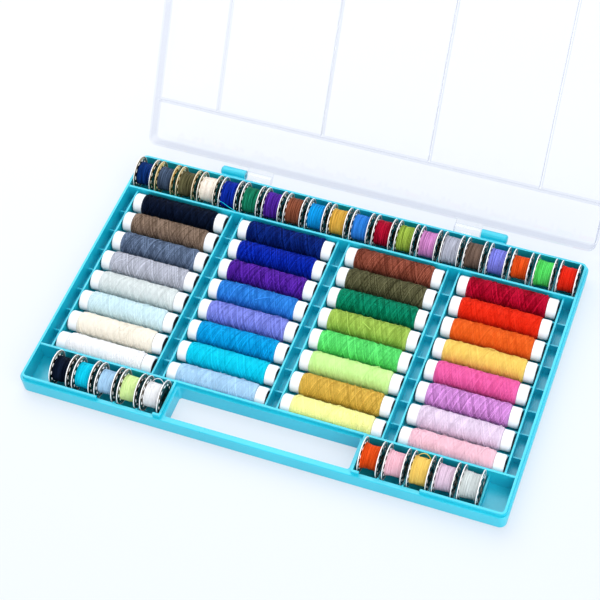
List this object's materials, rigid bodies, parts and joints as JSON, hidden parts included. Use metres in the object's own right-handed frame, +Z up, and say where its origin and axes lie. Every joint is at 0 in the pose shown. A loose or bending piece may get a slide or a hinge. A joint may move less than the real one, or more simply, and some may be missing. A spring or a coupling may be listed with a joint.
{
  "type": "sewing thread box",
  "caption": "Flat carrying box with a clear hinged lid and a compartment tray that holds rows of thread spools and wound metal bobbins.",
  "frame": {"origin": "middle of the tray's flat underside", "axes": "+X right along the box's length, +Y towards the hinge side, +Z up"},
  "size_m": [0.276, 0.2832, 0.1606],
  "materials": {
    "tray_plastic": "gloss",
    "lid_clear": "gloss",
    "spool_tube": "satin",
    "bobbin_metal": "polished",
    "bobbin_metal_wound": "satin",
    "thread_black": "satin",
    "thread_taupe": "satin",
    "thread_slate": "satin",
    "thread_lavender_grey": "satin",
    "thread_silver_green": "satin",
    "thread_pale_aqua": "satin",
    "thread_cream": "satin",
    "thread_white": "satin",
    "thread_navy": "satin",
    "thread_royal_blue": "satin",
    "thread_purple": "satin",
    "thread_medium_blue": "satin",
    "thread_periwinkle": "satin",
    "thread_cerulean": "satin",
    "thread_cyan": "satin",
    "thread_light_blue": "satin",
    "thread_red_brown": "satin",
    "thread_dark_olive": "satin",
    "thread_dark_green": "satin",
    "thread_olive_green": "satin",
    "thread_bright_green": "satin",
    "thread_lime": "satin",
    "thread_mustard": "satin",
    "thread_yellow": "satin",
    "thread_crimson": "satin",
    "thread_red": "satin",
    "thread_orange": "satin",
    "thread_golden_orange": "satin",
    "thread_hot_pink": "satin",
    "thread_orchid": "satin",
    "thread_light_lilac": "satin",
    "thread_pink": "satin",
    "thread_emerald": "satin",
    "thread_sky_blue": "satin",
    "thread_yellow_green": "satin",
    "thread_grey": "satin",
    "thread_violet": "satin",
    "thread_green": "satin"
  },
  "bodies": {
    "tray": {"tray": "tray_plastic"},
    "lid": {"lid": "lid_clear"},
    "spool_black": {"spool_black": "thread_black"},
    "spool_taupe": {"spool_taupe": "thread_taupe"},
    "spool_slate": {"spool_slate": "thread_slate"},
    "spool_lavender_grey": {"spool_lavender_grey": "thread_lavender_grey"},
    "spool_silver_green": {"spool_silver_green": "thread_silver_green"},
    "spool_pale_aqua": {"spool_pale_aqua": "thread_pale_aqua"},
    "spool_cream": {"spool_cream": "thread_cream"},
    "spool_white": {"spool_white": "thread_white"},
    "spool_navy": {"spool_navy": "thread_navy"},
    "spool_royal_blue": {"spool_royal_blue": "thread_royal_blue"},
    "spool_purple": {"spool_purple": "thread_purple"},
    "spool_medium_blue": {"spool_medium_blue": "thread_medium_blue"},
    "spool_periwinkle": {"spool_periwinkle": "thread_periwinkle"},
    "spool_cerulean": {"spool_cerulean": "thread_cerulean"},
    "spool_cyan": {"spool_cyan": "thread_cyan"},
    "spool_light_blue": {"spool_light_blue": "thread_light_blue"},
    "spool_red_brown": {"spool_red_brown": "thread_red_brown"},
    "spool_dark_olive": {"spool_dark_olive": "thread_dark_olive"},
    "spool_dark_green": {"spool_dark_green": "thread_dark_green"},
    "spool_olive_green": {"spool_olive_green": "thread_olive_green"},
    "spool_bright_green": {"spool_bright_green": "thread_bright_green"},
    "spool_lime": {"spool_lime": "thread_lime"},
    "spool_mustard": {"spool_mustard": "thread_mustard"},
    "spool_yellow": {"spool_yellow": "thread_yellow"},
    "spool_crimson": {"spool_crimson": "thread_crimson"},
    "spool_red": {"spool_red": "thread_red"},
    "spool_orange": {"spool_orange": "thread_orange"},
    "spool_golden_orange": {"spool_golden_orange": "thread_golden_orange"},
    "spool_hot_pink": {"spool_hot_pink": "thread_hot_pink"},
    "spool_orchid": {"spool_orchid": "thread_orchid"},
    "spool_light_lilac": {"spool_light_lilac": "thread_light_lilac"},
    "spool_pink": {"spool_pink": "thread_pink"},
    "bobbin_navy": {"bobbin_navy": "thread_navy"},
    "bobbin_slate": {"bobbin_slate": "thread_slate"},
    "bobbin_dark_olive": {"bobbin_dark_olive": "thread_dark_olive"},
    "bobbin_cream": {"bobbin_cream": "thread_cream"},
    "bobbin_royal_blue": {"bobbin_royal_blue": "thread_royal_blue"},
    "bobbin_emerald": {"bobbin_emerald": "thread_emerald"},
    "bobbin_purple": {"bobbin_purple": "thread_purple"},
    "bobbin_red_brown": {"bobbin_red_brown": "thread_red_brown"},
    "bobbin_sky_blue": {"bobbin_sky_blue": "thread_sky_blue"},
    "bobbin_mustard": {"bobbin_mustard": "thread_mustard"},
    "bobbin_medium_blue": {"bobbin_medium_blue": "thread_medium_blue"},
    "bobbin_crimson": {"bobbin_crimson": "thread_crimson"},
    "bobbin_yellow_green": {"bobbin_yellow_green": "thread_yellow_green"},
    "bobbin_orchid": {"bobbin_orchid": "thread_orchid"},
    "bobbin_grey": {"bobbin_grey": "thread_grey"},
    "bobbin_taupe": {"bobbin_taupe": "thread_taupe"},
    "bobbin_violet": {"bobbin_violet": "thread_violet"},
    "bobbin_orange": {"bobbin_orange": "thread_orange"},
    "bobbin_green": {"bobbin_green": "thread_green"},
    "bobbin_red": {"bobbin_red": "thread_red"},
    "front_bobbins_left": {"front_bobbins_left": "bobbin_metal_wound"},
    "front_bobbins_right": {"front_bobbins_right": "bobbin_metal_wound"}
  },
  "joints": [
    {"name": "lid_hinge", "type": "hinge", "parent": "tray", "child": "lid", "pos_m": [0, 0.09154, 0.0092], "axis": [-1, 0, 0], "range_deg": [-121.5, 0]},
    {"name": "lift_spool_black", "type": "slide", "parent": "tray", "child": "spool_black", "axis": [0, 0, 1], "range_m": [0, 0.016]},
    {"name": "lift_spool_taupe", "type": "slide", "parent": "tray", "child": "spool_taupe", "axis": [0, 0, 1], "range_m": [0, 0.016]},
    {"name": "lift_spool_slate", "type": "slide", "parent": "tray", "child": "spool_slate", "axis": [0, 0, 1], "range_m": [0, 0.016]},
    {"name": "lift_spool_lavender_grey", "type": "slide", "parent": "tray", "child": "spool_lavender_grey", "axis": [0, 0, 1], "range_m": [0, 0.016]},
    {"name": "lift_spool_silver_green", "type": "slide", "parent": "tray", "child": "spool_silver_green", "axis": [0, 0, 1], "range_m": [0, 0.016]},
    {"name": "lift_spool_pale_aqua", "type": "slide", "parent": "tray", "child": "spool_pale_aqua", "axis": [0, 0, 1], "range_m": [0, 0.016]},
    {"name": "lift_spool_cream", "type": "slide", "parent": "tray", "child": "spool_cream", "axis": [0, 0, 1], "range_m": [0, 0.016]},
    {"name": "lift_spool_white", "type": "slide", "parent": "tray", "child": "spool_white", "axis": [0, 0, 1], "range_m": [0, 0.016]},
    {"name": "lift_spool_navy", "type": "slide", "parent": "tray", "child": "spool_navy", "axis": [0, 0, 1], "range_m": [0, 0.016]},
    {"name": "lift_spool_royal_blue", "type": "slide", "parent": "tray", "child": "spool_royal_blue", "axis": [0, 0, 1], "range_m": [0, 0.016]},
    {"name": "lift_spool_purple", "type": "slide", "parent": "tray", "child": "spool_purple", "axis": [0, 0, 1], "range_m": [0, 0.016]},
    {"name": "lift_spool_medium_blue", "type": "slide", "parent": "tray", "child": "spool_medium_blue", "axis": [0, 0, 1], "range_m": [0, 0.016]},
    {"name": "lift_spool_periwinkle", "type": "slide", "parent": "tray", "child": "spool_periwinkle", "axis": [0, 0, 1], "range_m": [0, 0.016]},
    {"name": "lift_spool_cerulean", "type": "slide", "parent": "tray", "child": "spool_cerulean", "axis": [0, 0, 1], "range_m": [0, 0.016]},
    {"name": "lift_spool_cyan", "type": "slide", "parent": "tray", "child": "spool_cyan", "axis": [0, 0, 1], "range_m": [0, 0.016]},
    {"name": "lift_spool_light_blue", "type": "slide", "parent": "tray", "child": "spool_light_blue", "axis": [0, 0, 1], "range_m": [0, 0.016]},
    {"name": "lift_spool_red_brown", "type": "slide", "parent": "tray", "child": "spool_red_brown", "axis": [0, 0, 1], "range_m": [0, 0.016]},
    {"name": "lift_spool_dark_olive", "type": "slide", "parent": "tray", "child": "spool_dark_olive", "axis": [0, 0, 1], "range_m": [0, 0.016]},
    {"name": "lift_spool_dark_green", "type": "slide", "parent": "tray", "child": "spool_dark_green", "axis": [0, 0, 1], "range_m": [0, 0.016]},
    {"name": "lift_spool_olive_green", "type": "slide", "parent": "tray", "child": "spool_olive_green", "axis": [0, 0, 1], "range_m": [0, 0.016]},
    {"name": "lift_spool_bright_green", "type": "slide", "parent": "tray", "child": "spool_bright_green", "axis": [0, 0, 1], "range_m": [0, 0.016]},
    {"name": "lift_spool_lime", "type": "slide", "parent": "tray", "child": "spool_lime", "axis": [0, 0, 1], "range_m": [0, 0.016]},
    {"name": "lift_spool_mustard", "type": "slide", "parent": "tray", "child": "spool_mustard", "axis": [0, 0, 1], "range_m": [0, 0.016]},
    {"name": "lift_spool_yellow", "type": "slide", "parent": "tray", "child": "spool_yellow", "axis": [0, 0, 1], "range_m": [0, 0.016]},
    {"name": "lift_spool_crimson", "type": "slide", "parent": "tray", "child": "spool_crimson", "axis": [0, 0, 1], "range_m": [0, 0.016]},
    {"name": "lift_spool_red", "type": "slide", "parent": "tray", "child": "spool_red", "axis": [0, 0, 1], "range_m": [0, 0.016]},
    {"name": "lift_spool_orange", "type": "slide", "parent": "tray", "child": "spool_orange", "axis": [0, 0, 1], "range_m": [0, 0.016]},
    {"name": "lift_spool_golden_orange", "type": "slide", "parent": "tray", "child": "spool_golden_orange", "axis": [0, 0, 1], "range_m": [0, 0.016]},
    {"name": "lift_spool_hot_pink", "type": "slide", "parent": "tray", "child": "spool_hot_pink", "axis": [0, 0, 1], "range_m": [0, 0.016]},
    {"name": "lift_spool_orchid", "type": "slide", "parent": "tray", "child": "spool_orchid", "axis": [0, 0, 1], "range_m": [0, 0.016]},
    {"name": "lift_spool_light_lilac", "type": "slide", "parent": "tray", "child": "spool_light_lilac", "axis": [0, 0, 1], "range_m": [0, 0.016]},
    {"name": "lift_spool_pink", "type": "slide", "parent": "tray", "child": "spool_pink", "axis": [0, 0, 1], "range_m": [0, 0.016]},
    {"name": "lift_bobbin_navy", "type": "slide", "parent": "tray", "child": "bobbin_navy", "axis": [0, 0, 1], "range_m": [0, 0.022]},
    {"name": "lift_bobbin_slate", "type": "slide", "parent": "tray", "child": "bobbin_slate", "axis": [0, 0, 1], "range_m": [0, 0.022]},
    {"name": "lift_bobbin_dark_olive", "type": "slide", "parent": "tray", "child": "bobbin_dark_olive", "axis": [0, 0, 1], "range_m": [0, 0.022]},
    {"name": "lift_bobbin_cream", "type": "slide", "parent": "tray", "child": "bobbin_cream", "axis": [0, 0, 1], "range_m": [0, 0.022]},
    {"name": "lift_bobbin_royal_blue", "type": "slide", "parent": "tray", "child": "bobbin_royal_blue", "axis": [0, 0, 1], "range_m": [0, 0.022]},
    {"name": "lift_bobbin_emerald", "type": "slide", "parent": "tray", "child": "bobbin_emerald", "axis": [0, 0, 1], "range_m": [0, 0.022]},
    {"name": "lift_bobbin_purple", "type": "slide", "parent": "tray", "child": "bobbin_purple", "axis": [0, 0, 1], "range_m": [0, 0.022]},
    {"name": "lift_bobbin_red_brown", "type": "slide", "parent": "tray", "child": "bobbin_red_brown", "axis": [0, 0, 1], "range_m": [0, 0.022]},
    {"name": "lift_bobbin_sky_blue", "type": "slide", "parent": "tray", "child": "bobbin_sky_blue", "axis": [0, 0, 1], "range_m": [0, 0.022]},
    {"name": "lift_bobbin_mustard", "type": "slide", "parent": "tray", "child": "bobbin_mustard", "axis": [0, 0, 1], "range_m": [0, 0.022]},
    {"name": "lift_bobbin_medium_blue", "type": "slide", "parent": "tray", "child": "bobbin_medium_blue", "axis": [0, 0, 1], "range_m": [0, 0.022]},
    {"name": "lift_bobbin_crimson", "type": "slide", "parent": "tray", "child": "bobbin_crimson", "axis": [0, 0, 1], "range_m": [0, 0.022]},
    {"name": "lift_bobbin_yellow_green", "type": "slide", "parent": "tray", "child": "bobbin_yellow_green", "axis": [0, 0, 1], "range_m": [0, 0.022]},
    {"name": "lift_bobbin_orchid", "type": "slide", "parent": "tray", "child": "bobbin_orchid", "axis": [0, 0, 1], "range_m": [0, 0.022]},
    {"name": "lift_bobbin_grey", "type": "slide", "parent": "tray", "child": "bobbin_grey", "axis": [0, 0, 1], "range_m": [0, 0.022]},
    {"name": "lift_bobbin_taupe", "type": "slide", "parent": "tray", "child": "bobbin_taupe", "axis": [0, 0, 1], "range_m": [0, 0.022]},
    {"name": "lift_bobbin_violet", "type": "slide", "parent": "tray", "child": "bobbin_violet", "axis": [0, 0, 1], "range_m": [0, 0.022]},
    {"name": "lift_bobbin_orange", "type": "slide", "parent": "tray", "child": "bobbin_orange", "axis": [0, 0, 1], "range_m": [0, 0.022]},
    {"name": "lift_bobbin_green", "type": "slide", "parent": "tray", "child": "bobbin_green", "axis": [0, 0, 1], "range_m": [0, 0.022]},
    {"name": "lift_bobbin_red", "type": "slide", "parent": "tray", "child": "bobbin_red", "axis": [0, 0, 1], "range_m": [0, 0.022]},
    {"name": "lift_front_bobbins_left", "type": "slide", "parent": "tray", "child": "front_bobbins_left", "axis": [0, 0, 1], "range_m": [0, 0.022]},
    {"name": "lift_front_bobbins_right", "type": "slide", "parent": "tray", "child": "front_bobbins_right", "axis": [0, 0, 1], "range_m": [0, 0.022]}
  ]
}
